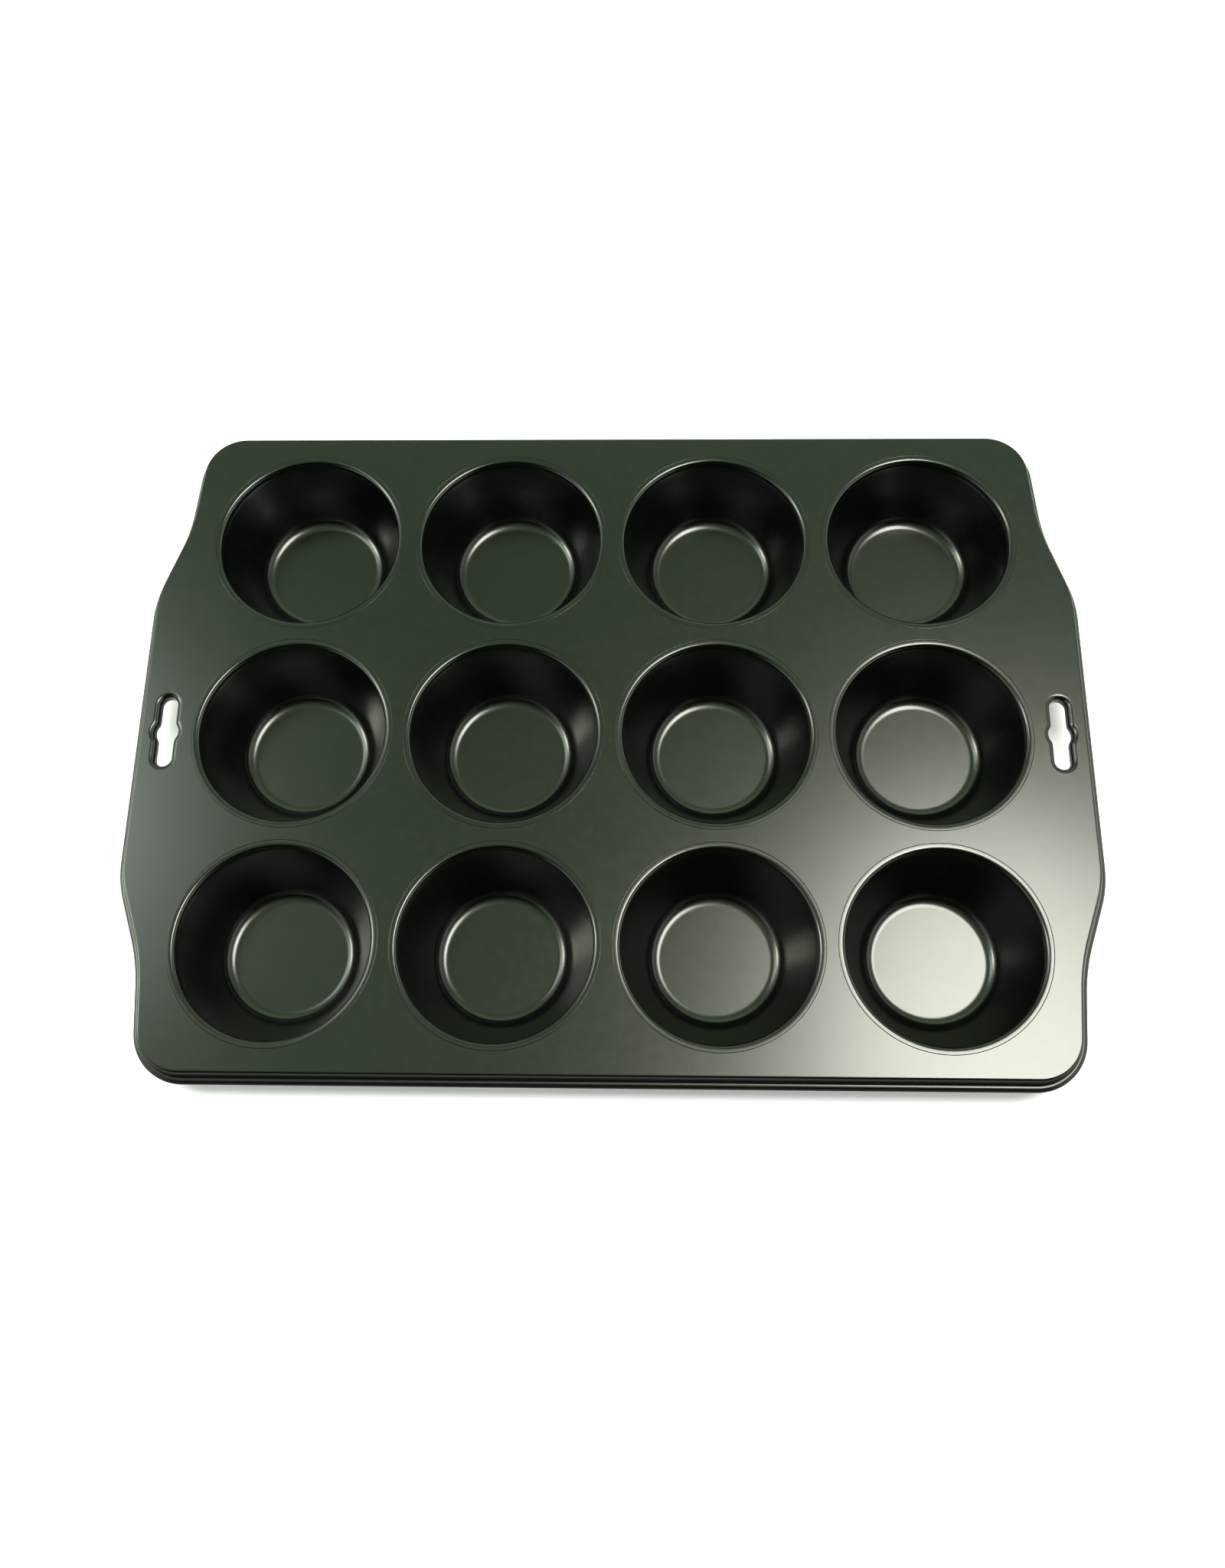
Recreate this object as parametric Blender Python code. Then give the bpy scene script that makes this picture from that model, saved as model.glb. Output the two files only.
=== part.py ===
"""Twelve-cup muffin tin: a pressed steel deck with two ear handles, twelve drawn cups locked into its holes,
and a steel rod rolled into its edge. Metres, +Z up, +X along the long side through the handles, +Y to the
back. The origin is the tin's centre on the plane that the cups stand on.

Sections are lists of (out, depth) or (radius, depth) points, with depth measured down from the deck's top face.

Blender 4.5. Run with: blender --background --python part.py
"""

import math

import bmesh
import bpy
from mathutils import Vector

MM = 0.001
QUARTER_TURN = math.radians(90.0)
HALF_TURN = math.radians(180.0)

# Sheet and overall height
SHEET = 0.6 * MM  # deck and cup sheet
GAP = 0.3 * MM  # clearance where a cup sits in the deck
CUP_DEPTH = 29.0 * MM  # deck top to the inside of a cup's floor
DECK_TOP = CUP_DEPTH + SHEET  # height of the deck's top face above the resting plane

# Cup grid
ROWS, COLS = 3, 4
PITCH_X = 79.0 * MM
PITCH_Y = 79.4 * MM
CUP_SIDES = 24  # facets round a cup and round its hole

# Cup section: radii from the cup's axis, depths from the deck's top face
CUP_MOUTH_R = 35.0 * MM  # inside of the neck
LIP_R = 1.25 * MM  # rounding from the flange into the neck
FLANGE_R = 37.2 * MM  # outer edge of the cup's flange
NECK_END = 2.2 * MM  # the straight neck passes through the deck's hole down to here
BEAD_DEPTH = 3.0 * MM  # fullest point of the locking bead, below the deck's ledge
BEAD_OUT = 0.5 * MM  # how far the bead swells
BEAD_OUTER_DROP = 0.1 * MM  # neck end and bead lie this much lower on the outer face
BEAD_OUTER_EXTRA = 0.05 * MM  # and the bead swells this much more there
WALL_TOP_R = 34.7 * MM  # conical wall starts here
WALL_TOP_DEPTH = 4.1 * MM
FLOOR_FLAT_R = 20.8 * MM
FLOOR_CORNER_R = 3.2 * MM

# Deck's seat for each cup
SEAT_R = FLANGE_R + GAP  # coined recess that the flange lies in
SEAT_DEPTH = SHEET + GAP
SEAT_UNDER_R = SEAT_R + 0.75 * SHEET  # lower outer edge, drawn in a little from the full sheet
HOLE_R = CUP_MOUTH_R + SHEET + GAP

# Deck outline at the bend, a quarter of it, from a handle's straight end to the long side
EAR_HALF_X = 175.7 * MM
DECK_HALF_Y = 125.25 * MM
EAR_STRAIGHT = 49.0 * MM  # half-length of the handle's straight end
SHOULDER_R = 40.0 * MM
SHOULDER_TURN = math.radians(19.0)
SHOULDER_RUN = 15.5 * MM  # straight between the shoulder and the waist
WAIST_R = 75.0 * MM
WAIST_TURN = math.radians(14.0)
CORNER_R = 16.0 * MM

# Edge: bend, flared skirt and curl
BEND_R = 1.5 * MM
SKIRT_FLARE = math.radians(12.0)
FILLET_R = 0.9 * MM  # between the skirt and the curl
CURL_R = 1.75 * MM
CURL_OUT = 1.5 * MM  # curl's centre beyond the outline
CURL_DEPTH = 7.3 * MM  # curl's centre below the deck's top face
CURL_END = math.radians(-195.0)

# Rod inside the curl
ROD_R = 0.8 * MM
ROD_GAP = 1.5 * MM  # between the rod's two ends, in the middle of the back
ROD_SIDES = 6

# Handle slots with a round hanging notch in their middle
SLOT_X = 166.0 * MM
SLOT_HALF_LENGTH = 15.5 * MM
SLOT_HALF_WIDTH = 5.0 * MM
SLOT_NOTCH_R = 6.25 * MM
NOTCH_TOE = 0.9 * MM  # run from the notch's circle along the slot's straight side
NOTCH_SHARE = 0.72  # outer points of the notch, as a share of its half-angle
COLLAR_LIP_R = 1.25 * MM
COLLAR_DEPTH = 3.2 * MM

# Shading: edges sharper than this stay crisp
SHARP_ANGLE = math.radians(35.0)

# Surfaces
COATING = {"colour": (0.045, 0.052, 0.040), "roughness": 0.36, "metallic": 0.25}
ROD_STEEL = {"colour": (0.52, 0.53, 0.54), "roughness": 0.35, "metallic": 1.0}


def arc(x, y, radius, start, end, steps):
    """Points round a centre, from one angle to another, both included."""
    angles = [start + (end - start) * k / steps for k in range(steps + 1)]
    return [(x + radius * math.cos(a), y + radius * math.sin(a)) for a in angles]


def section_arc(out, depth, radius, start, end, steps):
    """An arc in a section. Angles run from outwards (0) to upwards (90 degrees)."""
    return [(x, -z) for x, z in arc(out, -depth, radius, start, end, steps)]


# ---------------------------------------------------------------- outline


def turn(point, radius, angle, steps):
    """Points (x, y, heading) along a bend of the path, to the left for a positive angle."""
    x, y, heading = point
    signed_r = math.copysign(radius, angle)
    centre_x = x - signed_r * math.sin(heading)
    centre_y = y + signed_r * math.cos(heading)
    headings = [heading + angle * k / steps for k in range(steps + 1)]
    return [
        (centre_x + signed_r * math.sin(h), centre_y - signed_r * math.cos(h), h)
        for h in headings
    ]


def forward(point, distance):
    x, y, heading = point
    return (x + distance * math.cos(heading), y + distance * math.sin(heading), heading)


def quarter_outline():
    """(x, y, normal angle) along the bend in the +X +Y quarter. The path leaves the straight end of the ear,
    turns in round the shoulder, runs in at a slant, turns back along the waist and rounds the corner."""
    ear_end = (EAR_HALF_X, EAR_STRAIGHT, QUARTER_TURN)
    shoulder = turn(ear_end, SHOULDER_R, SHOULDER_TURN, steps=3)
    waist = turn(forward(shoulder[-1], SHOULDER_RUN), WAIST_R, -WAIST_TURN, steps=2)

    # The straight run after the waist is as long as the corner needs to end on the long side.
    _, y, heading = waist[-1]
    corner_rise = CORNER_R * (1.0 + math.cos(heading))
    run = (DECK_HALF_Y - corner_rise - y) / math.sin(heading)
    corner = turn(forward(waist[-1], run), CORNER_R, HALF_TURN - heading, steps=7)

    return [(x, y, h - QUARTER_TURN) for x, y, h in shoulder + waist + corner]


def full_outline():
    """The quarter mirrored into all four, anticlockwise from the +X ear."""
    quarter = quarter_outline()
    loop = list(quarter)
    loop += [(-x, y, math.pi - a) for x, y, a in reversed(quarter)]
    loop += [(-x, -y, math.pi + a) for x, y, a in quarter]
    loop += [(x, -y, -a) for x, y, a in reversed(quarter)]
    return loop


OUTLINE = full_outline()


def beside_outline(station, out, depth):
    """An outline point moved outwards and lowered from the deck's top face."""
    x, y, normal = station
    return Vector((x + out * math.cos(normal), y + out * math.sin(normal), DECK_TOP - depth))


def outline_ring(out, depth):
    return [beside_outline(station, out, depth) for station in OUTLINE]


# ---------------------------------------------------------------- deck edge


def fillet_centre():
    """(out, depth) of the centre of the fillet that touches both the skirt and the curl."""
    cos_flare, sin_flare = math.cos(SKIRT_FLARE), math.sin(SKIRT_FLARE)
    # The centre lies on a line beside the skirt. It starts level with the end of the bend.
    line_out = -BEND_R + (BEND_R + FILLET_R) * cos_flare
    line_depth = BEND_R - (BEND_R + FILLET_R) * sin_flare
    # Slide down that line until the fillet touches the curl.
    from_curl_out = line_out - CURL_OUT
    from_curl_depth = line_depth - CURL_DEPTH
    half_b = from_curl_out * sin_flare + from_curl_depth * cos_flare
    c = from_curl_out**2 + from_curl_depth**2 - (CURL_R + FILLET_R) ** 2
    slide = -half_b - math.sqrt(half_b * half_b - c)
    return line_out + slide * sin_flare, line_depth + slide * cos_flare


def edge_section():
    """(out, depth) round the sheet's edge: over the bend, down the skirt, round the curl to its cut end,
    and back along the inside of the sheet."""
    fillet_out, fillet_depth = fillet_centre()
    meet = math.atan2(CURL_DEPTH - fillet_depth, fillet_out - CURL_OUT)
    fillet_start = HALF_TURN + SKIRT_FLARE
    fillet_middle = (fillet_start + meet + HALF_TURN) / 2  # the curl's first point ends the fillet

    def face(inset):
        """One face of the sheet, inset from its outside."""
        bend = section_arc(
            -BEND_R, BEND_R, BEND_R - inset, QUARTER_TURN, SKIRT_FLARE, steps=2
        )
        fillet = section_arc(
            fillet_out, fillet_depth, FILLET_R + inset, fillet_start, fillet_middle, steps=1
        )
        curl = section_arc(CURL_OUT, CURL_DEPTH, CURL_R - inset, meet, CURL_END, steps=8)
        return bend + fillet + curl

    return face(0.0) + face(SHEET)[::-1]


# ---------------------------------------------------------------- slots


def slot_ring(centre_x, inset, depth):
    """The slot's outline moved inwards: two long sides, round ends, and a round notch in the middle of each side."""
    half_width = SLOT_HALF_WIDTH - inset
    notch_r = SLOT_NOTCH_R - inset
    end_y = SLOT_HALF_LENGTH - SLOT_HALF_WIDTH  # centre of the round end
    notch_angle = math.acos(half_width / notch_r)  # where the notch meets the straight side
    toe_y = notch_r * math.sin(notch_angle) + NOTCH_TOE
    notch_reach = NOTCH_SHARE * notch_angle

    # The +X side and the +Y end, then the same turned half round.
    half = [(half_width, -toe_y)]
    half += arc(0.0, 0.0, notch_r, -notch_reach, notch_reach, steps=2)
    half += [(half_width, toe_y)]
    half += arc(0.0, end_y, half_width, 0.0, math.pi, steps=6)
    loop = half + [(-x, -y) for x, y in half]
    return [Vector((centre_x + x, y, DECK_TOP - depth)) for x, y in loop]


def collar_section():
    """(inset, depth) down the collar's face, round its lower edge and up its back."""
    back_inset = COLLAR_LIP_R - SHEET
    section = section_arc(0.0, COLLAR_LIP_R, COLLAR_LIP_R, QUARTER_TURN, 0.0, steps=2)
    section += [(COLLAR_LIP_R, COLLAR_DEPTH), (back_inset, COLLAR_DEPTH)]
    section += section_arc(0.0, COLLAR_LIP_R, back_inset, 0.0, QUARTER_TURN, steps=1)
    return section


# ---------------------------------------------------------------- mesh helpers


def circle_ring(centre_x, centre_y, radius, depth):
    angles = [2 * math.pi * k / CUP_SIDES for k in range(CUP_SIDES)]
    return [
        Vector(
            (
                centre_x + radius * math.cos(a),
                centre_y + radius * math.sin(a),
                DECK_TOP - depth,
            )
        )
        for a in angles
    ]


def add_rings(bm, rings):
    """Vertices for each ring, joined ring to ring by quads."""
    made = [[bm.verts.new(point) for point in ring] for ring in rings]
    for ring, following in zip(made, made[1:]):
        count = len(ring)
        for k in range(count):
            after = (k + 1) % count
            bm.faces.new((ring[k], ring[after], following[after], following[k]))
    return made


def add_capped_rings(bm, rings):
    """Joined rings with a face closing each end."""
    made = add_rings(bm, rings)
    bm.faces.new(made[0])
    bm.faces.new(made[-1])


def ring_edges(bm, ring):
    return [bm.edges.get(pair) for pair in zip(ring, ring[1:] + ring[:1])]


def finish(name, bm, material):
    """Turn the bmesh into a smooth-shaded object in the scene."""
    bmesh.ops.recalc_face_normals(bm, faces=bm.faces)
    mesh = bpy.data.meshes.new(name)
    bm.to_mesh(mesh)
    bm.free()
    mesh.shade_smooth()
    mesh.set_sharp_from_angle(angle=SHARP_ANGLE)
    mesh.materials.append(material)
    obj = bpy.data.objects.new(name, mesh)
    bpy.context.scene.collection.objects.link(obj)
    return obj


def make_material(name, colour, roughness, metallic):
    material = bpy.data.materials.new(name)
    material.use_nodes = True
    shader = material.node_tree.nodes["Principled BSDF"]
    shader.inputs["Base Color"].default_value = (*colour, 1.0)
    shader.inputs["Roughness"].default_value = roughness
    shader.inputs["Metallic"].default_value = metallic
    return material


# ---------------------------------------------------------------- pieces


def cup_places():
    """(row, column, x, y) of each cup. Row 1 is the back row and column 1 is at -X."""
    return [
        (row, col, (col - (COLS + 1) / 2) * PITCH_X, ((ROWS + 1) / 2 - row) * PITCH_Y)
        for row in range(1, ROWS + 1)
        for col in range(1, COLS + 1)
    ]


def seat_section():
    """(radius, depth) down into a cup's seat, across its ledge to the hole, and back underneath."""
    return [
        (SEAT_R, 0.0),
        (SEAT_R, SEAT_DEPTH),
        (HOLE_R, SEAT_DEPTH),
        (HOLE_R, SEAT_DEPTH + SHEET),
        (SEAT_UNDER_R, SEAT_DEPTH + SHEET),
        (SEAT_R + SHEET, SHEET),
    ]


def make_deck(material):
    """The edge, seats and slots, each running from the top face to the underside, joined by two flat faces."""
    borders = [[outline_ring(out, depth) for out, depth in edge_section()]]
    for _, _, x, y in cup_places():
        borders.append([circle_ring(x, y, radius, depth) for radius, depth in seat_section()])
    for x in (-SLOT_X, SLOT_X):
        borders.append([slot_ring(x, inset, depth) for inset, depth in collar_section()])

    bm = bmesh.new()
    top_edges, under_edges = [], []
    for rings in borders:
        made = add_rings(bm, rings)
        top_edges += ring_edges(bm, made[0])
        under_edges += ring_edges(bm, made[-1])

    for edges, facing in ((top_edges, 1.0), (under_edges, -1.0)):
        bmesh.ops.triangle_fill(bm, use_beauty=True, edges=edges, normal=(0.0, 0.0, facing))
    return finish("pan_deck", bm, material)


def cup_section():
    """(radius, depth) from the flange's edge down the inside to the floor, and the same for the outside."""
    corner_depth = CUP_DEPTH - FLOOR_CORNER_R
    wall_run = WALL_TOP_R - FLOOR_FLAT_R
    wall_rise = corner_depth - WALL_TOP_DEPTH
    # Direction square to the conical wall, which is tangent to the floor's corner, as an angle below outwards.
    wall_normal = math.acos(FLOOR_CORNER_R / math.hypot(wall_run, wall_rise)) - math.atan2(
        wall_rise, wall_run
    )

    def corner(radius, steps):
        """From the wall to the flat of the floor."""
        return section_arc(
            FLOOR_FLAT_R, corner_depth, radius, -wall_normal, -QUARTER_TURN, steps
        )

    inside = [(FLANGE_R, 0.0)]
    inside += section_arc(
        CUP_MOUTH_R + LIP_R, LIP_R, LIP_R, QUARTER_TURN, HALF_TURN, steps=2
    )
    inside += [
        (CUP_MOUTH_R, NECK_END),
        (CUP_MOUTH_R + BEAD_OUT, BEAD_DEPTH),
        (WALL_TOP_R, WALL_TOP_DEPTH),
    ]
    inside += corner(FLOOR_CORNER_R, steps=2)

    neck_r = CUP_MOUTH_R + SHEET
    outside = [
        (FLANGE_R, SHEET),
        (neck_r, SHEET),
        (neck_r, NECK_END + BEAD_OUTER_DROP),
        (neck_r + BEAD_OUT + BEAD_OUTER_EXTRA, BEAD_DEPTH + BEAD_OUTER_DROP),
        (
            WALL_TOP_R + SHEET * math.cos(wall_normal),
            WALL_TOP_DEPTH + SHEET * math.sin(wall_normal),
        ),
    ]
    outside += corner(FLOOR_CORNER_R + SHEET, steps=1)
    return inside, outside


def make_cup(name, material):
    """A cup about its own axis, from the inside of its floor up, over the flange and down the outside."""
    bm = bmesh.new()
    inside, outside = cup_section()
    section = inside[::-1] + outside
    add_capped_rings(bm, [circle_ring(0.0, 0.0, radius, depth) for radius, depth in section])
    return finish(name, bm, material)


def make_rod(material):
    """One rod bent round the whole edge, with its ends facing each other in the middle of the back."""
    # The back's middle lies between the outline's first and second quarters.
    start = len(OUTLINE) // 4
    path = [(-ROD_GAP / 2, DECK_HALF_Y, QUARTER_TURN)]
    path += OUTLINE[start:] + OUTLINE[:start]
    path += [(ROD_GAP / 2, DECK_HALF_Y, QUARTER_TURN)]

    angles = [2 * math.pi * k / ROD_SIDES for k in range(ROD_SIDES)]
    section = [
        (CURL_OUT + ROD_R * math.cos(a), CURL_DEPTH - ROD_R * math.sin(a)) for a in angles
    ]
    bm = bmesh.new()
    add_capped_rings(
        bm,
        [[beside_outline(station, out, depth) for out, depth in section] for station in path],
    )
    return finish("rim_wire", bm, material)


def build():
    for obj in list(bpy.data.objects):
        bpy.data.objects.remove(obj, do_unlink=True)

    tin = bpy.data.objects.new("muffin_tin", None)
    bpy.context.scene.collection.objects.link(tin)

    deck = make_deck(make_material("deck_coating", **COATING))
    deck.parent = tin

    rod = make_rod(make_material("rod_steel", **ROD_STEEL))
    rod.parent = tin

    for row, col, x, y in cup_places():
        name = f"cup_row{row}_col{col}"
        cup = make_cup(name, make_material(name + "_coating", **COATING))
        cup.location = (x, y, 0.0)
        cup.parent = tin


build()
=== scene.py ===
"""Looks of a twelve-cup muffin tin: one pressed deck, twelve drawn cups and a rod in the curled edge.

The tin lies flat with its openings up (+Z). Its long way is X, with an ear at each end, and its front
is -Y. Each node of the frame is replaced by a finer mesh of the same size. Sizes of the tin are in
millimetres, and its places come from the frame's boxes. The studio is in metres.
Sections are lists of (radius or offset, depth), with depth measured down from the deck's top face.
"""

from math import acos, atan2, cos, hypot, pi, radians, sin, sqrt, tan

import bmesh
import bpy
from mathutils import Matrix, Vector


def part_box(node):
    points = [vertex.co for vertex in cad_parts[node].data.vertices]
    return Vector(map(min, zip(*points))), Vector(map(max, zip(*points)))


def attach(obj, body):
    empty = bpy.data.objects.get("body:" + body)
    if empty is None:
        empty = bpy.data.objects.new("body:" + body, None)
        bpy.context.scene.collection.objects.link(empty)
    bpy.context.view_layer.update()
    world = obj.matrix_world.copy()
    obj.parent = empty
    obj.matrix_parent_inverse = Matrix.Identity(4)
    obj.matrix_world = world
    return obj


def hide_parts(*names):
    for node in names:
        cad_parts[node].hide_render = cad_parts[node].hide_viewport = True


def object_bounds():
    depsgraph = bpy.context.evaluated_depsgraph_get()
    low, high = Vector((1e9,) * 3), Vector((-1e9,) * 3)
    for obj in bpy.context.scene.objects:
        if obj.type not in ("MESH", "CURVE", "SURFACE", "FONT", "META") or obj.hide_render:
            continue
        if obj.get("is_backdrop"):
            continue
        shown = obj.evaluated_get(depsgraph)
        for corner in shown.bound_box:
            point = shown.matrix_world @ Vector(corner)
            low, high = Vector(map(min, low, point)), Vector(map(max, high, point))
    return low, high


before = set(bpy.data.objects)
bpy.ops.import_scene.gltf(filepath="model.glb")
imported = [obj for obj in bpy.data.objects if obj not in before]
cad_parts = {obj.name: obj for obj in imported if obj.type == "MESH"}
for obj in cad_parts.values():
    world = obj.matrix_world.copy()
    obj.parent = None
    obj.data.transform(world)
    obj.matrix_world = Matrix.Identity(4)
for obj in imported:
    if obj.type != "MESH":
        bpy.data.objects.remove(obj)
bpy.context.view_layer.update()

MM = 0.001

# ------------------------------------------------------------------ sizes

SHEET = 0.6
CUP_SIDES = 144

# Cup, by its inside face
MOUTH_R = 34.6
LIP_R = 1.65  # rounding into the neck
SHOULDER_R = 10.0  # gentle dishing of the flange towards the lip
SHOULDER_TILT = radians(5.0)
FLANGE_R = 37.36
SEAM = 0.06  # hairline between a cup's flange and the deck
SEAM_ROUND = 0.10
NECK_END = 2.1
BEAD_DEPTH = 3.0
BEAD_R = 35.2
WALL_TOP_R = 34.7
WALL_TOP_DEPTH = 4.15
FLOOR_FLAT_R = 20.5
FLOOR_CORNER_R = 5.4
HOLE_R = 35.75  # hole in the deck under the flange

# Skirt, curl and rod
BEND_R = 1.0
SKIRT_FLARE = radians(12.0)
FILLET_R = 0.5  # between skirt and curl
CURL_R = 1.75
CURL_OUT = 1.5
CURL_DEPTH = 7.3
CURL_END = radians(-195.0)
TIP_TURN = 0.04  # how far the rounded cut end runs on past the curl, in radians
TIP_REACH = 0.36  # half width of the cut end's middle, as a share of the sheet
ROD_R = 0.8
ROD_GAP = 1.5
ROD_END_BEVEL = 0.12
ROD_END_SCALE = 0.82
ROD_SIDES = 20

# Outline of the deck, along the bend
EAR_STRAIGHT = 49.0
EAR_SHOULDER_R = 40.0
EAR_SHOULDER_TURN = radians(19.0)
EAR_SHOULDER_RUN = 15.5
EAR_WAIST_R = 75.0
EAR_WAIST_TURN = radians(14.0)
CORNER_R = 16.0
SIDE_STOP = 4.0  # the quarter's last run is stepped towards this distance from the middle

# Slot in each ear
SLOT_INBOARD = 9.7  # from the bend of the ear to the slot's centre line
SLOT_HALF_LENGTH = 15.5
SLOT_HALF_WIDTH = 5.0
SLOT_NOTCH_R = 6.25
SLOT_NOTCH_FILLET = 1.5
COLLAR_LIP_R = 1.85
COLLAR_DEPTH = 3.9
COLLAR_STRAIGHT = 2.6  # depth of the ring between the lip and the cut edge
COLLAR_EDGE = 0.08  # bevel of the cut edge

# ------------------------------------------------------------------ places, from the frame

deck_low, deck_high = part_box("pan_deck")
TOP = deck_high.z / MM
CENTRE_X = (deck_low.x + deck_high.x) / 2 / MM
CENTRE_Y = (deck_low.y + deck_high.y) / 2 / MM
FRAME_EDGE = 3.176  # from the bend to the outermost facet of the frame's curl
EAR_HALF_X = (deck_high.x - deck_low.x) / 2 / MM - FRAME_EDGE
DECK_HALF_Y = (deck_high.y - deck_low.y) / 2 / MM - FRAME_EDGE
SLOT_X = EAR_HALF_X - SLOT_INBOARD

CUPS = {}  # centre of each cup
for node in sorted(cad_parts):
    if node.startswith("cup_"):
        low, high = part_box(node)
        CUPS[node] = ((low.x + high.x) / 2 / MM, (low.y + high.y) / 2 / MM)
CUP_DEPTH = TOP - SHEET - min(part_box(node)[0].z for node in CUPS) / MM

# ------------------------------------------------------------------ helpers


def arc(centre_x, centre_y, radius, start, end, steps):
    angles = [start + (end - start) * k / steps for k in range(steps + 1)]
    return [(centre_x + radius * cos(a), centre_y + radius * sin(a)) for a in angles]


def depth_arc(x, depth, radius, start, end, steps):
    """An arc in a section: its angles turn upwards, while depth counts downwards."""
    angles = [start + (end - start) * k / steps for k in range(steps + 1)]
    return [(x + radius * cos(a), depth - radius * sin(a)) for a in angles]


def between(start, end, steps):
    """Points on the straight from start to end, without either."""
    return [
        tuple(p + (q - p) * (k / steps) for p, q in zip(start, end))
        for k in range(1, steps)
    ]


def hermite(start, end, start_tangent, end_tangent, steps):
    """Cubic from start to end, without its first point."""
    points = []
    for k in range(1, steps + 1):
        s = k / steps
        weights = (
            2 * s**3 - 3 * s**2 + 1,
            s**3 - 2 * s**2 + s,
            -2 * s**3 + 3 * s**2,
            s**3 - s**2,
        )
        controls = (start, start_tangent, end, end_tangent)
        points.append(tuple(sum(w * c[i] for w, c in zip(weights, controls)) for i in (0, 1)))
    return points


def point(x, y, depth):
    return Vector((x * MM, y * MM, (TOP - depth) * MM))


def circle_ring(centre_x, centre_y, radius, depth):
    angles = [2 * pi * k / CUP_SIDES for k in range(CUP_SIDES)]
    return [
        point(centre_x + radius * cos(a), centre_y + radius * sin(a), depth) for a in angles
    ]


def add_rings(bm, rings):
    """Join closed rings of equal count, one to the next, and return their vertices."""
    made = [[bm.verts.new(p) for p in ring] for ring in rings]
    for a, b in zip(made, made[1:]):
        n = len(a)
        for k in range(n):
            bm.faces.new((a[k], a[(k + 1) % n], b[(k + 1) % n], b[k]))
    return made


def ring_edges(bm, ring):
    return [bm.edges.get(pair) for pair in zip(ring, ring[1:] + ring[:1])]


def new_piece(name, bm, material, node, location=(0.0, 0.0, 0.0)):
    bmesh.ops.recalc_face_normals(bm, faces=bm.faces)
    mesh = bpy.data.meshes.new(name)
    bm.to_mesh(mesh)
    bm.free()
    mesh.shade_smooth()
    mesh.materials.append(material)
    obj = bpy.data.objects.new(name, mesh)
    bpy.context.scene.collection.objects.link(obj)
    obj.location = location
    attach(obj, "root")
    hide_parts(node)
    return obj


# ------------------------------------------------------------------ deck


def quarter_outline():
    """(x, y, normal angle) along the bend, from the middle of the +X ear's end to the +Y side."""
    points = []
    x, y, heading = EAR_HALF_X, 0.0, radians(90.0)

    def turn(radius, angle, steps):
        nonlocal x, y, heading
        side = 1.0 if angle > 0 else -1.0
        centre_x = x - side * radius * sin(heading)
        centre_y = y + side * radius * cos(heading)
        for k in range(steps + 1):
            h = heading + angle * k / steps
            x = centre_x + side * radius * sin(h)
            y = centre_y - side * radius * cos(h)
            points.append((x, y, h - radians(90.0)))
        heading += angle

    def straight(run, steps):
        """Adds only the points inside the run; the turn that follows adds its end."""
        nonlocal x, y
        for k in range(1, steps):
            points.append(
                (
                    x + run * k / steps * cos(heading),
                    y + run * k / steps * sin(heading),
                    heading - radians(90.0),
                )
            )
        x += run * cos(heading)
        y += run * sin(heading)

    straight(EAR_STRAIGHT, 8)
    turn(EAR_SHOULDER_R, EAR_SHOULDER_TURN, 9)
    straight(EAR_SHOULDER_RUN, 3)
    turn(EAR_WAIST_R, -EAR_WAIST_TURN, 9)
    corner_turn = radians(180.0) - heading
    corner_rise = CORNER_R * (1.0 + cos(heading))
    straight((DECK_HALF_Y - corner_rise - y) / sin(heading), 3)
    turn(CORNER_R, corner_turn, 22)
    straight(x - SIDE_STOP, 22)
    return points


def full_outline():
    quarter = quarter_outline()
    loop = list(quarter)
    loop += [(-x, y, pi - a) for x, y, a in reversed(quarter)]
    loop += [(-x, -y, pi + a) for x, y, a in quarter]
    loop += [(x, -y, -a) for x, y, a in reversed(quarter)]
    return loop


OUTLINE = full_outline()


def outline_ring(out, depth):
    return [
        point(CENTRE_X + x + out * cos(a), CENTRE_Y + y + out * sin(a), depth)
        for x, y, a in OUTLINE
    ]


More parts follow.
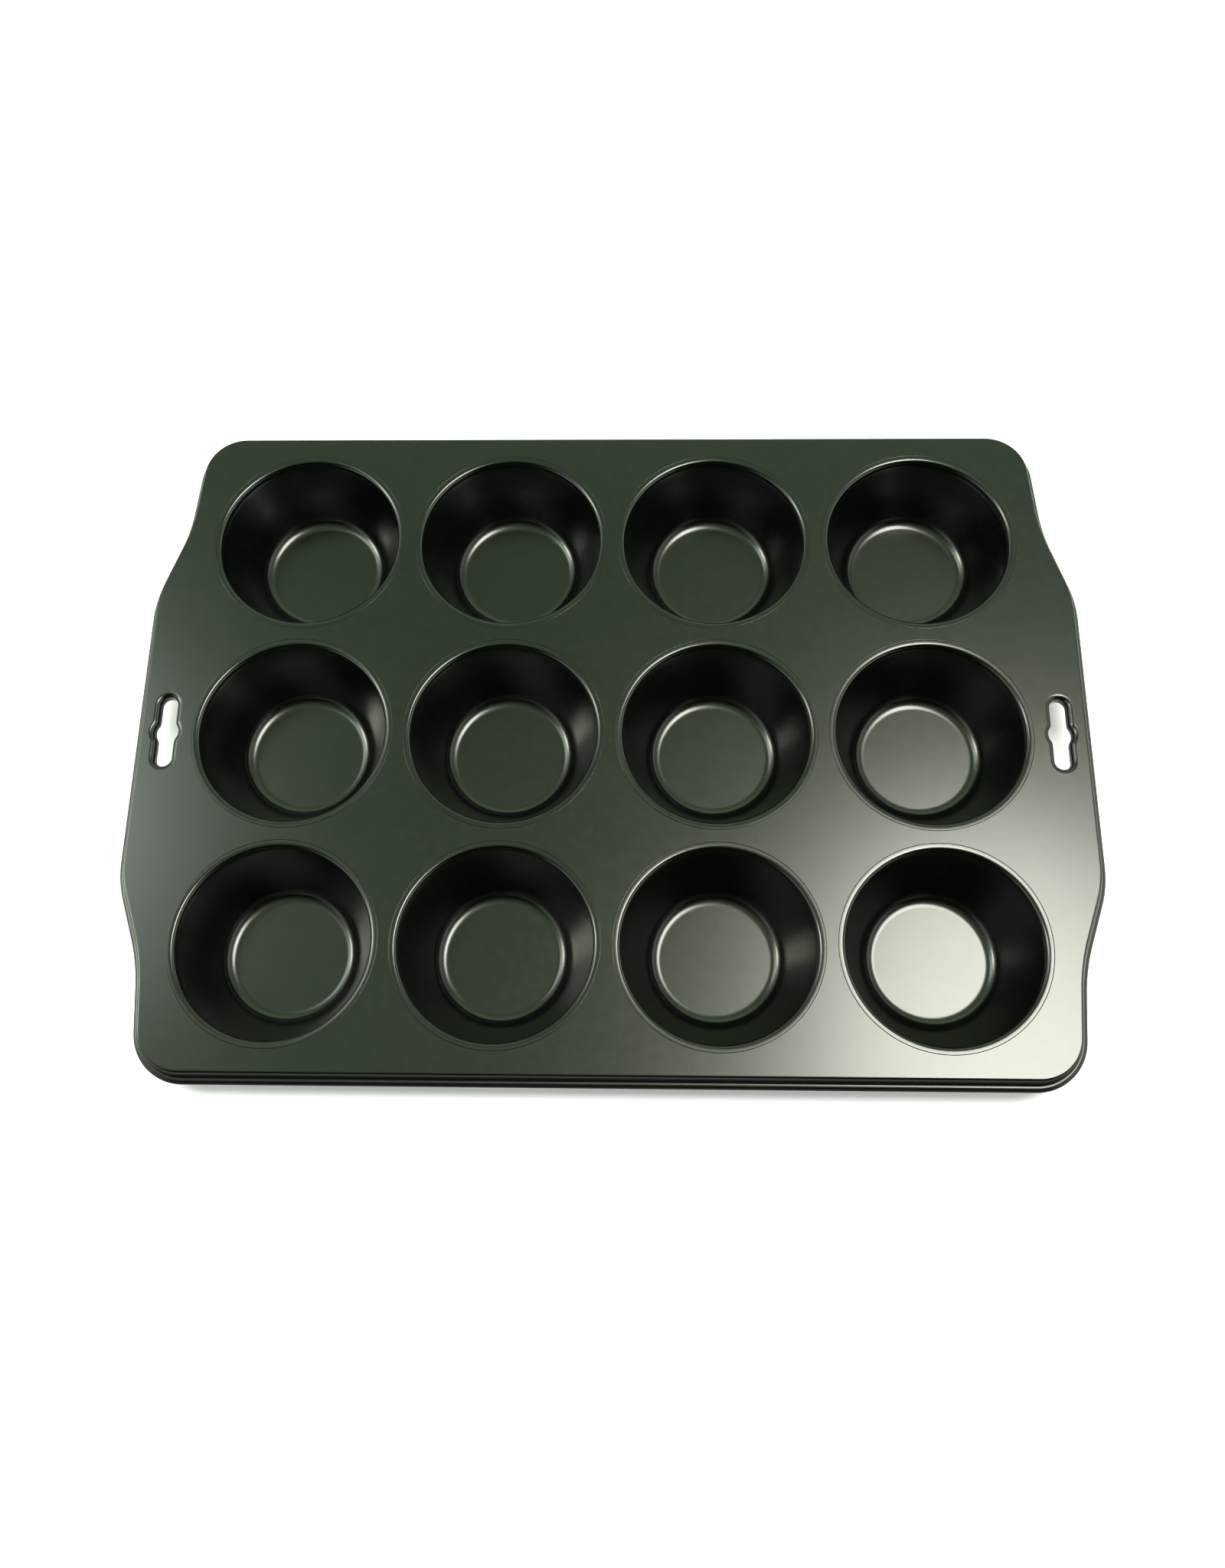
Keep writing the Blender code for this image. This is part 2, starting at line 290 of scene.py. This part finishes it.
def edge_section():
    """(out, depth) from just inside the bend, over it, round the curl, and back inside."""
    cos_flare, sin_flare = cos(SKIRT_FLARE), sin(SKIRT_FLARE)

    # The fillet's centre runs beside the skirt until it is a fillet's radius off the curl.
    line_x = -BEND_R + BEND_R * cos_flare + FILLET_R * cos_flare
    line_depth = BEND_R - BEND_R * sin_flare - FILLET_R * sin_flare
    to_x, to_depth = line_x - CURL_OUT, line_depth - CURL_DEPTH
    half_b = to_x * sin_flare + to_depth * cos_flare
    c = to_x * to_x + to_depth * to_depth - (CURL_R + FILLET_R) ** 2
    run = -half_b - sqrt(half_b * half_b - c)
    fillet_x, fillet_depth = line_x + run * sin_flare, line_depth + run * cos_flare
    meet = atan2(CURL_DEPTH - fillet_depth, fillet_x - CURL_OUT)

    def face(bend_r, fillet_r, curl_r):
        bend = depth_arc(-BEND_R, BEND_R, bend_r, radians(90), SKIRT_FLARE, 10)
        fillet = depth_arc(
            fillet_x, fillet_depth, fillet_r, radians(180) + SKIRT_FLARE, meet + radians(180), 6
        )[:-1]
        curl = depth_arc(CURL_OUT, CURL_DEPTH, curl_r, meet, CURL_END, 34)
        return bend + between(bend[-1], fillet[0], 4) + fillet + curl

    outside = face(BEND_R, FILLET_R, CURL_R)
    inside = face(BEND_R - SHEET, FILLET_R + SHEET, CURL_R - SHEET)
    # The cut end is slightly rounded.
    tip = []
    for share in (1.0, 0.0, -1.0):
        radius = CURL_R - SHEET / 2 + SHEET * TIP_REACH * share
        angle = CURL_END - TIP_TURN
        tip.append((CURL_OUT + radius * cos(angle), CURL_DEPTH - radius * sin(angle)))
    top = [(-BEND_R - 1.2, 0.0), (-BEND_R - 0.3, 0.0)]
    under = [(-BEND_R - 0.3, SHEET), (-BEND_R - 1.2, SHEET)]
    return top + outside + tip + list(reversed(inside)) + under


def slot_ring(centre_x, inset, depth):
    """The slot's outline moved inwards: round ends, and a filleted notch midway on each side."""
    half_width = SLOT_HALF_WIDTH - inset
    notch_r = SLOT_NOTCH_R - inset
    fillet_r = SLOT_NOTCH_FILLET + inset
    fillet_x = SLOT_HALF_WIDTH + SLOT_NOTCH_FILLET
    fillet_y = sqrt((SLOT_NOTCH_R + SLOT_NOTCH_FILLET) ** 2 - fillet_x * fillet_x)
    reach = atan2(fillet_y, fillet_x)
    end = SLOT_HALF_LENGTH - SLOT_HALF_WIDTH
    side = [(half_width, -end + (end - fillet_y) * k / 4) for k in range(1, 4)]
    side += arc(fillet_x, -fillet_y, fillet_r, pi, pi - reach, 6)
    side += arc(0, 0, notch_r, -reach, reach, 10)[1:-1]
    side += arc(fillet_x, fillet_y, fillet_r, pi + reach, pi, 6)
    side += [(half_width, fillet_y + (end - fillet_y) * k / 4) for k in range(1, 4)]
    loop = side + [(x, end + y) for x, y in arc(0, 0, half_width, 0.0, pi, 20)]
    loop += [(-x, -y) for x, y in side]
    loop += [(x, -end + y) for x, y in arc(0, 0, half_width, pi, 2 * pi, 20)]
    return [point(centre_x + x, CENTRE_Y + y, depth) for x, y in loop]


def collar_section():
    """(inset, depth): over the lip, down the collar, round its cut edge and up its back."""
    front, back = COLLAR_LIP_R, COLLAR_LIP_R - SHEET
    bottom = COLLAR_DEPTH - COLLAR_EDGE
    return (
        [(-1.0, 0.0), (-0.25, 0.0)]
        + depth_arc(0, COLLAR_LIP_R, front, radians(90), 0.0, 12)
        + [(front, COLLAR_STRAIGHT), (front, bottom)]
        + [(front - COLLAR_EDGE, COLLAR_DEPTH), (back + COLLAR_EDGE, COLLAR_DEPTH)]
        + [(back, bottom), (back, COLLAR_STRAIGHT)]
        + depth_arc(0, COLLAR_LIP_R, back, 0.0, radians(90), 6)
        + [(-0.25, SHEET), (-1.0, SHEET)]
    )


def seat_section():
    """(radius, depth) from the top face into the recess for a cup's flange, and out underneath."""
    edge = FLANGE_R + SEAM
    ledge = SHEET + 0.06
    fall = 0.12 + ledge  # the ledge follows the dished flange
    rounded = edge + SEAM_ROUND
    return (
        [(rounded + 0.5, 0.0), (rounded + 0.06, 0.0)]
        + depth_arc(rounded, SEAM_ROUND, SEAM_ROUND, radians(90), pi, 3)
        + [(edge, ledge), (HOLE_R + 0.1, fall), (HOLE_R, fall + 0.1)]
        + [(HOLE_R, fall + SHEET - 0.1), (HOLE_R + 0.1, fall + SHEET)]
        + [(edge + 0.30, ledge + SHEET), (edge + 0.44, ledge + SHEET - 0.10)]
        + [(edge + 0.62, SHEET + 0.12), (edge + 0.78, SHEET)]
        + [(edge + 1.1, SHEET)]
    )


def make_deck(material):
    """Edge, seats and collars, each from top face to underside, with both faces filled between."""
    bm = bmesh.new()
    loops = [[outline_ring(out, depth) for out, depth in edge_section()]]
    for x, y in CUPS.values():
        loops.append([circle_ring(x, y, radius, depth) for radius, depth in seat_section()])
    for x in (CENTRE_X - SLOT_X, CENTRE_X + SLOT_X):
        loops.append([slot_ring(x, inset, depth) for inset, depth in collar_section()])
    top_edges, under_edges = [], []
    for rings in loops:
        made = add_rings(bm, rings)
        top_edges += ring_edges(bm, made[0])
        under_edges += ring_edges(bm, made[-1])
    bmesh.ops.triangle_fill(bm, use_beauty=True, edges=top_edges, normal=(0, 0, 1))
    bmesh.ops.triangle_fill(bm, use_beauty=True, edges=under_edges, normal=(0, 0, -1))
    return new_piece("deck_sheet", bm, material, "pan_deck")


# ------------------------------------------------------------------ cups

CORNER_DEPTH = CUP_DEPTH - FLOOR_CORNER_R
LIP_X = MOUTH_R + LIP_R  # centre of the lip's rounding
SHOULDER_FALL = SHOULDER_R * (1 - cos(SHOULDER_TILT))

# The straight wall runs from its top, tangent to the floor's corner.
wall_x, wall_rise = WALL_TOP_R - FLOOR_FLAT_R, WALL_TOP_DEPTH - CORNER_DEPTH
WALL_SLOPE = acos(FLOOR_CORNER_R / hypot(wall_x, wall_rise)) - atan2(-wall_rise, wall_x)
NORMAL_X, NORMAL_DEPTH = cos(WALL_SLOPE), sin(WALL_SLOPE)


def down_wall(length):
    return (-NORMAL_DEPTH * length, NORMAL_X * length)


def wall_and_corner(start, corner_r, wall_steps, corner_steps):
    """The wall below start, then the floor's corner."""
    end = (FLOOR_FLAT_R + corner_r * NORMAL_X, CORNER_DEPTH + corner_r * NORMAL_DEPTH)
    return between(start, end, wall_steps) + arc(
        FLOOR_FLAT_R, CORNER_DEPTH, corner_r, WALL_SLOPE, radians(90), corner_steps
    )


def cup_inside():
    """(radius, depth) from the flange's edge down to the floor."""
    shoulder_x = LIP_X - LIP_R * sin(SHOULDER_TILT)
    dish_x = shoulder_x + SHOULDER_R * sin(SHOULDER_TILT)

    def shoulder(x):
        return SHOULDER_R - sqrt(SHOULDER_R**2 - max(0.0, dish_x - x) ** 2)

    rounded = FLANGE_R - SEAM_ROUND
    points = depth_arc(
        rounded, shoulder(rounded) + SEAM_ROUND, SEAM_ROUND, 0.0, radians(90), 3
    )
    first_x = rounded - 0.03
    for k in range(8):
        x = first_x + (shoulder_x - first_x) * k / 7
        points.append((x, shoulder(x)))
    lip_depth = SHOULDER_FALL + LIP_R * cos(SHOULDER_TILT)
    points += depth_arc(LIP_X, lip_depth, LIP_R, radians(90) + SHOULDER_TILT, pi, 14)[1:]

    neck, bead, wall_top = (MOUTH_R, NECK_END), (BEAD_R, BEAD_DEPTH), (WALL_TOP_R, WALL_TOP_DEPTH)
    points += between(points[-1], neck, 2) + [neck]
    points += hermite(neck, bead, (0, 0.9), (0, 0.9), 8)
    points += hermite(bead, wall_top, (0, 1.2), down_wall(1.2), 9)
    points += wall_and_corner(wall_top, FLOOR_CORNER_R, 12, 12)
    return points + [(radius, CUP_DEPTH) for radius in (FLOOR_FLAT_R - 0.3, 17.0, 11.0, 5.0)]


def cup_outside():
    """(radius, depth) from the flange's edge down to the underside of the floor."""
    points = [(FLANGE_R, SHEET - 0.06), (FLANGE_R - 0.06, SHEET)]
    points += depth_arc(LIP_X, SHOULDER_FALL + LIP_R, LIP_R - SHEET, radians(100), pi, 4)
    neck = (MOUTH_R + SHEET, NECK_END - 0.1)
    bead = (BEAD_R + SHEET, BEAD_DEPTH)
    wall_top = (WALL_TOP_R + SHEET * NORMAL_X, WALL_TOP_DEPTH + 0.3 + SHEET * NORMAL_DEPTH)
    points.append(neck)
    points += hermite(neck, bead, (0, 0.8), (0, 0.8), 6)
    points += hermite(bead, wall_top, (0, 1.3), down_wall(1.3), 8)
    points += wall_and_corner(wall_top, FLOOR_CORNER_R + SHEET, 10, 10)
    return points + [(radius, CUP_DEPTH + SHEET) for radius in (FLOOR_FLAT_R - 0.3, 14.0, 6.0)]


def make_cup(node, centre, material):
    bm = bmesh.new()
    section = list(reversed(cup_inside())) + cup_outside()
    made = add_rings(bm, [circle_ring(0, 0, radius, depth) for radius, depth in section])
    for ring, depth in ((made[0], CUP_DEPTH), (made[-1], CUP_DEPTH + SHEET)):
        pole = bm.verts.new(point(0, 0, depth))
        for a, b in zip(ring, ring[1:] + ring[:1]):
            bm.faces.new((a, b, pole))
    name = node.replace("cup_", "cup_shell_")
    location = (centre[0] * MM, centre[1] * MM, 0.0)
    return new_piece(name, bm, material, node, location)


# ------------------------------------------------------------------ rod


def make_rod(material):
    """The rod inside the curl, its two blunt ends facing each other in the middle of the back."""
    bm = bmesh.new()
    start = len(OUTLINE) // 4
    half_gap = ROD_GAP / 2
    back = radians(90.0)
    blunt_end = [(half_gap - ROD_END_BEVEL, ROD_END_SCALE), (half_gap, 1.0)]
    path = [(-x, DECK_HALF_Y, back, scale) for x, scale in blunt_end]
    path += [(x, y, a, 1.0) for x, y, a in OUTLINE[start:] + OUTLINE[:start]]
    path += [(x, DECK_HALF_Y, back, scale) for x, scale in reversed(blunt_end)]
    rings = []
    for x, y, a, scale in path:
        ring = []
        for k in range(ROD_SIDES):
            turn = 2 * pi * k / ROD_SIDES
            out = CURL_OUT + ROD_R * scale * cos(turn)
            depth = CURL_DEPTH - ROD_R * scale * sin(turn)
            ring.append(point(CENTRE_X + x + out * cos(a), CENTRE_Y + y + out * sin(a), depth))
        rings.append(ring)
    made = add_rings(bm, rings)
    bm.faces.new(made[0])
    bm.faces.new(made[-1])
    return new_piece("rim_rod", bm, material, "rim_wire")


# ------------------------------------------------------------------ materials


class Tree:
    """Short calls for building a node tree. A value may be a number or a socket to link."""

    def __init__(self, tree):
        self.tree = tree

    def plug(self, node, inputs):
        for key, value in inputs.items():
            if hasattr(value, "is_linked"):
                self.tree.links.new(value, node.inputs[key])
            else:
                node.inputs[key].default_value = value

    def add(self, kind, inputs=None, **props):
        node = self.tree.nodes.new(kind)
        for key, value in props.items():
            setattr(node, key, value)
        self.plug(node, inputs or {})
        return node

    def coords(self, output="Object"):
        return self.add("ShaderNodeTexCoord").outputs[output]

    def axes(self, vector):
        return self.add("ShaderNodeSeparateXYZ", {0: vector}).outputs

    def math(self, operation, a, b=0.0):
        return self.add("ShaderNodeMath", {0: a, 1: b, 2: 0.0}, operation=operation).outputs[0]

    def times(self, a, b):
        return self.math("MULTIPLY", a, b)

    def noise(self, vector, scale, detail, roughness):
        inputs = {"Vector": vector, "Scale": scale, "Detail": detail, "Roughness": roughness}
        return self.add("ShaderNodeTexNoise", inputs).outputs["Fac"]

    def remap(self, value, span, to):
        """Smooth step of value over span, giving to."""
        inputs = {
            "Value": value,
            "From Min": span[0],
            "From Max": span[1],
            "To Min": to[0],
            "To Max": to[1],
        }
        node = self.add("ShaderNodeMapRange", inputs, interpolation_type="SMOOTHSTEP")
        return node.outputs["Result"]

    def near(self, value, centre, fade):
        """1 where value is close to centre, falling to 0 over the distances in fade."""
        distance = self.math("ABSOLUTE", self.math("SUBTRACT", value, centre))
        return self.remap(distance, span=fade, to=(1.0, 0.0))

    def mix(self, factor, a, b):
        return self.add("ShaderNodeMix", {0: factor, 6: a, 7: b}, data_type="RGBA").outputs[2]

    def bump(self, height, distance, normal=None):
        inputs = {"Height": height, "Distance": distance, "Strength": 1.0}
        if normal is not None:
            inputs["Normal"] = normal
        return self.add("ShaderNodeBump", inputs).outputs["Normal"]


def new_material(name):
    material = bpy.data.materials.new(name)
    material.use_nodes = True
    shader = material.node_tree.nodes["Principled BSDF"]
    return material, shader, Tree(material.node_tree)


COAT_DARK = (0.0005, 0.0009, 0.0012, 1.0)
COAT_LIGHT = (0.0013, 0.0019, 0.0020, 1.0)
COAT_FLECK = (0.011, 0.012, 0.011, 1.0)
COAT_RUBBED = (0.035, 0.036, 0.034, 1.0)
COAT_ROUGHNESS = 0.224
FILM_ROUGHNESS = 0.006  # swing of roughness with the film
GRAIN_ROUGHNESS = 0.05
LIP_SMOOTHING = 0.03
RUB_SMOOTHING = 0.05
CURL_ROUGHNESS = 0.07  # added on the curl
CLOUD_SHARE, PATCH_SHARE = 0.35, 0.65  # what makes up the film
FLECK_SHARE = 0.55
RUB_SHARE = 0.5
SEED_SHIFT = (0.173, 0.291, 0.117)  # moves the textures, per unit of seed
LIP_BAND_R = 35.6


def cup_wear(t, place, axes, rough):
    """(rubbing, roughness) of a cup."""
    x, y, z = axes
    radius = t.math("SQRT", t.math("ADD", t.times(x, x), t.times(y, y)))
    # The lip is a touch smoother.
    lip = t.near(radius, LIP_BAND_R * MM, fade=(0.3 * MM, 1.1 * MM))
    lip_height = ((TOP - 2.5) * MM, (TOP - 1.0) * MM)
    lip = t.times(lip, t.remap(z, span=lip_height, to=(0.0, 1.0)))
    rough = t.math("SUBTRACT", rough, t.times(lip, LIP_SMOOTHING))
    # Rubbed ring underneath, at the edge of the flat floor.
    rub = t.near(radius, FLOOR_FLAT_R * MM, fade=(0.4 * MM, 2.4 * MM))
    rub = t.times(rub, t.remap(z, span=(0.05 * MM, 0.45 * MM), to=(1.0, 0.0)))
    breakup = t.noise(place, scale=420.0, detail=5.0, roughness=0.7)
    rub = t.times(rub, t.remap(breakup, span=(0.46, 0.62), to=(0.0, 1.0)))
    return rub, rough


def deck_wear(t, place, axes, rough):
    """(rubbing, roughness) of the deck."""
    z = axes[2]
    # Rubbed line at the height of the curl's middle.
    rub = t.near(z, (TOP - CURL_DEPTH) * MM, fade=(0.1 * MM, 0.8 * MM))
    breakup = t.noise(place, scale=180.0, detail=6.0, roughness=0.72)
    rub = t.times(rub, t.remap(breakup, span=(0.52, 0.66), to=(0.0, 1.0)))
    # The coating is drier on the curl than on the face.
    curl_height = ((TOP - 5.2) * MM, (TOP - 4.0) * MM)
    rough = t.math("ADD", rough, t.remap(z, span=curl_height, to=(CURL_ROUGHNESS, 0.0)))
    return rub, rough


def coating(name, seed, wear):
    """Sprayed satin coating: near-black with fine flecks, orange peel and slightly uneven sheen."""
    material, shader, t = new_material(name)
    coords = t.coords()
    shift = tuple(part * seed for part in SEED_SHIFT)
    place = t.add("ShaderNodeVectorMath", {0: coords, 1: shift}, operation="ADD").outputs[0]

    # Noises, by the size of their features
    cloud = t.noise(place, scale=38.0, detail=3.0, roughness=0.55)  # 25 mm
    patch = t.noise(place, scale=260.0, detail=4.0, roughness=0.6)  # 4 mm
    peel = t.noise(place, scale=1500.0, detail=2.0, roughness=0.55)  # 0.7 mm: orange peel
    grain = t.noise(place, scale=5200.0, detail=1.0, roughness=0.5)  # 0.2 mm
    wave = t.noise(place, scale=13.0, detail=1.0, roughness=0.4)  # 80 mm: waviness of the sheet

    # Flecks sit in the middle of some of the cells.
    cells = t.add(
        "ShaderNodeTexVoronoi",
        {"Vector": place, "Scale": 2100.0, "Randomness": 1.0},
        feature="F1",
    )
    fleck_size = t.remap(cells.outputs["Distance"], span=(0.16, 0.30), to=(1.0, 0.0))
    cell_red = t.add("ShaderNodeSeparateColor", {0: cells.outputs["Color"]}).outputs[0]
    fleck = t.times(fleck_size, t.remap(cell_red, span=(0.70, 0.90), to=(0.0, 1.0)))

    film = t.math("ADD", t.times(cloud, CLOUD_SHARE), t.times(patch, PATCH_SHARE))
    colour = t.mix(t.remap(film, span=(0.38, 0.62), to=(0.0, 1.0)), COAT_DARK, COAT_LIGHT)
    colour = t.mix(t.times(fleck, FLECK_SHARE), colour, COAT_FLECK)
    film_rough = (COAT_ROUGHNESS - FILM_ROUGHNESS, COAT_ROUGHNESS + FILM_ROUGHNESS)
    rough = t.math(
        "ADD",
        t.remap(film, span=(0.36, 0.64), to=film_rough),
        t.times(t.math("SUBTRACT", grain, 0.5), GRAIN_ROUGHNESS),
    )
    rub, rough = wear(t, place, t.axes(coords), rough)

    normal = t.bump(wave, distance=0.00008)
    normal = t.bump(peel, distance=0.0000035, normal=normal)
    normal = t.bump(grain, distance=0.0000007, normal=normal)
    t.plug(
        shader,
        {
            "Base Color": t.mix(t.times(rub, RUB_SHARE), colour, COAT_RUBBED),
            "Roughness": t.math("SUBTRACT", rough, t.times(rub, RUB_SMOOTHING)),
            "Normal": normal,
            "Metallic": 0.0,
            "IOR": 1.5,
            "Specular IOR Level": t.remap(film, span=(0.34, 0.66), to=(0.79, 0.81)),
        },
    )
    return material


STEEL_LIGHT = (0.55, 0.56, 0.57, 1.0)
STEEL_DARK = (0.36, 0.35, 0.34, 1.0)


def drawn_steel(name):
    material, shader, t = new_material(name)
    coords = t.coords()
    fine = t.noise(coords, scale=3800.0, detail=3.0, roughness=0.6)
    stain = t.noise(coords, scale=140.0, detail=4.0, roughness=0.6)
    stain = t.remap(stain, span=(0.35, 0.7), to=(0.0, 1.0))
    t.plug(
        shader,
        {
            "Base Color": t.mix(stain, STEEL_LIGHT, STEEL_DARK),
            "Roughness": t.remap(fine, span=(0.3, 0.7), to=(0.26, 0.44)),
            "Normal": t.bump(fine, distance=0.000004),
            "Metallic": 1.0,
        },
    )
    return material


# ------------------------------------------------------------------ build

deck = make_deck(coating("deck_satin_coating", seed=1.0, wear=deck_wear))
cups = []
for index, (node, centre) in enumerate(CUPS.items()):
    material = coating(node + "_satin_coating", seed=2.0 + index, wear=cup_wear)
    cups.append(make_cup(node, centre, material))
rod = make_rod(drawn_steel("rod_drawn_steel"))

# ------------------------------------------------------------------ floor

scene = bpy.context.scene
scene.view_settings.view_transform = "Standard"
scene.view_settings.look = "None"
scene.view_settings.exposure = 0.0
scene.view_settings.gamma = 1.0

FLOOR_HALF = 4.0
PAPER_LEVEL = 0.80  # grey of the floor as the camera sees it
PAPER_GLOW = 0.35  # share of the grey that the floor gives off


def floor_paper():
    material, shader, t = new_material("studio_floor_paper")
    seen = t.add("ShaderNodeLightPath").outputs["Is Camera Ray"]
    # What the tin mirrors of the floor is dimmer, and dimmest in front of it: painted shade that
    # darkens the floor's grey and glow in front of the tin for every ray but the camera's.
    mirrored_grey_with_painted_shade = t.remap(t.axes(t.coords())[1], span=(-0.16, -0.06), to=(0.10, 0.50))
    unseen = t.math("SUBTRACT", 1.0, seen)
    level = t.math("ADD", t.times(seen, PAPER_LEVEL), t.times(unseen, mirrored_grey_with_painted_shade))
    grey = t.add("ShaderNodeCombineColor", {0: level, 1: level, 2: level}).outputs[0]
    t.plug(
        shader,
        {
            "Base Color": grey,
            "Roughness": 0.95,
            "Specular IOR Level": 0.0,
            "Emission Color": (1.0, 1.0, 1.0, 1.0),
            "Emission Strength": t.times(level, PAPER_GLOW),
        },
    )
    return material


corners = [(x * FLOOR_HALF, y * FLOOR_HALF, 0) for x, y in ((-1, -1), (1, -1), (1, 1), (-1, 1))]
floor_mesh = bpy.data.meshes.new("studio_floor")
floor_mesh.from_pydata(corners, [], [(0, 1, 2, 3)])
floor = bpy.data.objects.new("studio_floor", floor_mesh)
scene.collection.objects.link(floor)
floor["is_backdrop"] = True
floor_mesh.materials.append(floor_paper())

# ------------------------------------------------------------------ lights

CENTRE = Vector((CENTRE_X * MM, CENTRE_Y * MM, TOP * MM))
SOFTBOX_DISTANCE = 12.0
RADIANCE_TO_POWER = pi * pi / 4  # per area of the box round the ellipse


def softbox(name, direction, half_width, half_height, turn, radiance, colour, receivers):
    """A soft elliptical light that lights only the receivers.

    direction is the x and y of the unit vector from the tin to the light; the half sizes are
    angles in radians seen from the tin, and turn rolls the ellipse.
    """
    x, y = direction
    away = Vector((x, y, sqrt(1 - x**2 - y**2)))
    side = Vector((0, 0, 1)).cross(away).normalized()
    rise = away.cross(side)
    across = side * cos(turn) + rise * sin(turn)
    along = rise * cos(turn) - side * sin(turn)
    light = bpy.data.lights.new(name, "AREA")
    light.shape = "ELLIPSE"
    light.size = 2 * SOFTBOX_DISTANCE * tan(half_width)
    light.size_y = 2 * SOFTBOX_DISTANCE * tan(half_height)
    light.color = colour
    light.energy = radiance * RADIANCE_TO_POWER * light.size * light.size_y
    obj = bpy.data.objects.new(name, light)
    scene.collection.objects.link(obj)
    obj.matrix_world = (
        Matrix.Translation(CENTRE + away * SOFTBOX_DISTANCE)
        @ Matrix((across, along, away)).transposed().to_4x4()
    )
    obj.visible_camera = False
    obj.light_linking.receiver_collection = receivers


def receiver_group(name, objects):
    group = bpy.data.collections.new(name)
    for obj in objects:
        group.objects.link(obj)
    return group


# The floor has its own even light; the other softboxes only shape the tin.
tin_only = receiver_group("lit_by_softboxes", [deck, rod] + cups)
floor_only = receiver_group("lit_from_overhead", [floor])

softbox(
    "key_softbox", direction=(0.291, 0.028), half_width=0.252, half_height=0.153,
    turn=0.079, radiance=17.2, colour=(0.99, 1.0, 0.87), receivers=tin_only,
)
softbox(
    "fill_softbox", direction=(-0.522, 0.246), half_width=0.172, half_height=0.172,
    turn=0.0, radiance=5.1, colour=(0.93, 1.0, 0.93), receivers=tin_only,
)
softbox(
    "low_softbox", direction=(-0.757, 0.125), half_width=0.14, half_height=0.09,
    turn=0.0, radiance=21.0, colour=(0.93, 0.98, 0.76), receivers=tin_only,
)
softbox(
    "overhead_softbox", direction=(0.0, 0.12), half_width=0.35, half_height=0.17,
    turn=0.0, radiance=35.0, colour=(1.0, 1.0, 1.0), receivers=floor_only,
)

# ------------------------------------------------------------------ world

SKY = (0.33, 0.50, 0.265, 1.0)
WALLS = (0.42, 0.45, 0.40, 1.0)
WHITE = (1.0, 1.0, 1.0, 1.0)
CEILING_LEAN = 0.35  # how much the ceiling's brightness leans to the back


def make_world():
    """White to the camera. The tin mirrors a pale ceiling, brightest towards the back, pale walls
    beside and behind it, and a dark front."""
    world = bpy.data.worlds.new("studio")
    scene.world = world
    world.use_nodes = True
    world.node_tree.nodes.clear()
    t = Tree(world.node_tree)
    sideways, back, up = t.axes(t.coords("Generated"))

    def background(colour, strength):
        inputs = {"Color": colour, "Strength": strength}
        return t.add("ShaderNodeBackground", inputs).outputs[0]

    lean = t.math("ADD", up, t.times(back, CEILING_LEAN))
    ceiling = t.remap(lean, span=(0.45, 0.95), to=(0.03, 1.0))
    ceiling = t.times(ceiling, t.remap(back, span=(0.48, 0.62), to=(1.0, 1.7)))
    beside = t.remap(t.math("ABSOLUTE", sideways), span=(0.50, 0.85), to=(0.0, 2.8))
    behind = t.remap(back, span=(0.55, 0.90), to=(0.0, 1.0))
    below_ceiling = t.remap(up, span=(0.6, 0.8), to=(1.0, 0.0))
    walls = t.times(t.math("MAXIMUM", beside, behind), below_ceiling)
    mirrored = t.add(
        "ShaderNodeAddShader", {0: background(SKY, ceiling), 1: background(WALLS, walls)}
    ).outputs[0]
    seen = t.add("ShaderNodeLightPath").outputs["Is Camera Ray"]
    inputs = {0: seen, 1: mirrored, 2: background(WHITE, 1.0)}
    surface = t.add("ShaderNodeMixShader", inputs).outputs[0]
    t.add("ShaderNodeOutputWorld", {"Surface": surface})


make_world()

# ------------------------------------------------------------------ camera

CAMERA_OFFSET = Vector((0.01332, -0.16814, 0.45131))  # from the middle of the deck's top
CAMERA_RIGHT = Vector((0.99967, 0.01173, -0.02275))
CAMERA_FORWARD = Vector((-0.02527, 0.31121, -0.95001))

camera_data = bpy.data.cameras.new("camera")
camera_data.sensor_width = 36.0
camera_data.lens = 29.86
camera_data.clip_start = 0.02
camera_data.clip_end = 20.0
camera = bpy.data.objects.new("camera", camera_data)
scene.collection.objects.link(camera)
right = CAMERA_RIGHT.normalized()
forward = CAMERA_FORWARD.normalized()
right = (right - forward * right.dot(forward)).normalized()
camera.matrix_world = (
    Matrix.Translation(CENTRE + CAMERA_OFFSET)
    @ Matrix((right, right.cross(forward), -forward)).transposed().to_4x4()
)
scene.camera = camera

# ------------------------------------------------------------------ end

low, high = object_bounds()
